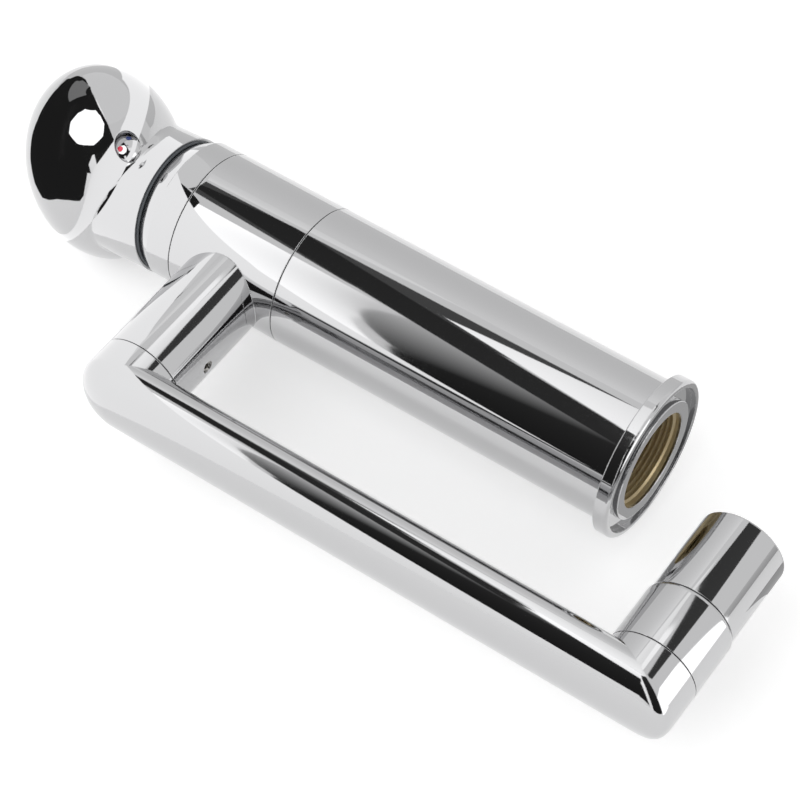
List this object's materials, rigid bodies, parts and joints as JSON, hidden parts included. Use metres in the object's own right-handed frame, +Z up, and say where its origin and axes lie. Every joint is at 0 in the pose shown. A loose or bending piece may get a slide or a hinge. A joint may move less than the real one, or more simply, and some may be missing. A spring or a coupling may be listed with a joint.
{
  "type": "kitchen faucet",
  "caption": "Single-lever kitchen faucet: round column, swivelling stub, swinging oval arm, rotating side outlet and ball-shaped handle.",
  "frame": {"origin": "centre of the column's end face, at the mouth of the threaded bore", "axes": "+Z up the column to the handle, -Y along the stub, +X to the front where the button is"},
  "size_m": [0.0728, 0.1013, 0.2726],
  "materials": {
    "chrome": "polished chrome plating",
    "brass": "machined",
    "steel": "bright stainless steel",
    "rubber": "smooth black rubber",
    "ceramic": "lapped white ceramic",
    "slide_plastic": "dark grey acetal",
    "cartridge_plastic": "light grey moulded",
    "red_enamel": "glossy red",
    "blue_enamel": "glossy dark blue"
  },
  "bodies": {
    "faucet_body": {"column_tube": "chrome", "base_bush": "brass", "waterway_core": "brass", "hub_slide_rings": "slide_plastic", "hub_seals": "rubber", "cartridge_base": "cartridge_plastic", "cartridge_seals": "rubber", "cartridge_body": "cartridge_plastic", "fixed_ceramic_disc": "ceramic", "cartridge_nut": "brass", "bonnet": "chrome"},
    "swivel_hub": {"spout_hub": "chrome", "arm_lock_screw": "steel", "arm_slide_washer": "slide_plastic"},
    "arm": {"spout_arm": "chrome", "arm_spigot": "brass", "arm_spigot_seals": "rubber", "outlet_spigot": "brass", "outlet_spigot_seals": "rubber", "outlet_clip": "steel"},
    "outlet": {"outlet_collar": "chrome", "outlet_barrel": "chrome", "outlet_cap": "chrome", "outlet_slide_washer": "slide_plastic", "aerator_housing": "chrome", "aerator_insert": "cartridge_plastic", "aerator_mesh": "steel", "aerator_washer": "rubber"},
    "lever_carrier": {"lever_yoke": "cartridge_plastic", "yoke_pin": "steel"},
    "disc_carriage": {"moving_ceramic_disc": "ceramic"},
    "lever": {"lever_stem": "brass", "handle_knob": "chrome", "handle_set_screw": "steel", "indicator_button": "chrome", "hot_dot": "red_enamel", "cold_dot": "blue_enamel", "handle_glide_ring": "slide_plastic"}
  },
  "joints": [
    {"name": "spout_swivel", "type": "hinge", "parent": "faucet_body", "child": "swivel_hub", "pos_m": [0, 0, 0.138], "axis": [0, 0, 1], "continuous": true},
    {"name": "arm_swing", "type": "hinge", "parent": "swivel_hub", "child": "arm", "pos_m": [0, -0.059, 0.1383], "axis": [0, 1, 0], "continuous": true},
    {"name": "outlet_turn", "type": "hinge", "parent": "arm", "child": "outlet", "pos_m": [0, -0.059, -0.0358], "axis": [0, 1, 0], "continuous": true},
    {"name": "lever_turn", "type": "hinge", "parent": "faucet_body", "child": "lever_carrier", "pos_m": [0, 0, 0.158], "axis": [0, 0, 1], "range_deg": [-46, 54]},
    {"name": "lever_tilt", "type": "hinge", "parent": "lever_carrier", "child": "lever", "pos_m": [0, 0, 0.158], "axis": [0.0698, 0.9976, 0], "range_deg": [0, 15]},
    {"name": "disc_shift", "type": "slide", "parent": "lever_carrier", "child": "disc_carriage", "axis": [0.9976, -0.0698, 0], "range_m": [-0.0014, 0]}
  ],
  "couplings": [
    {"joint": "disc_shift", "follows": "lever_tilt", "m_per_rad": -0.0052}
  ]
}
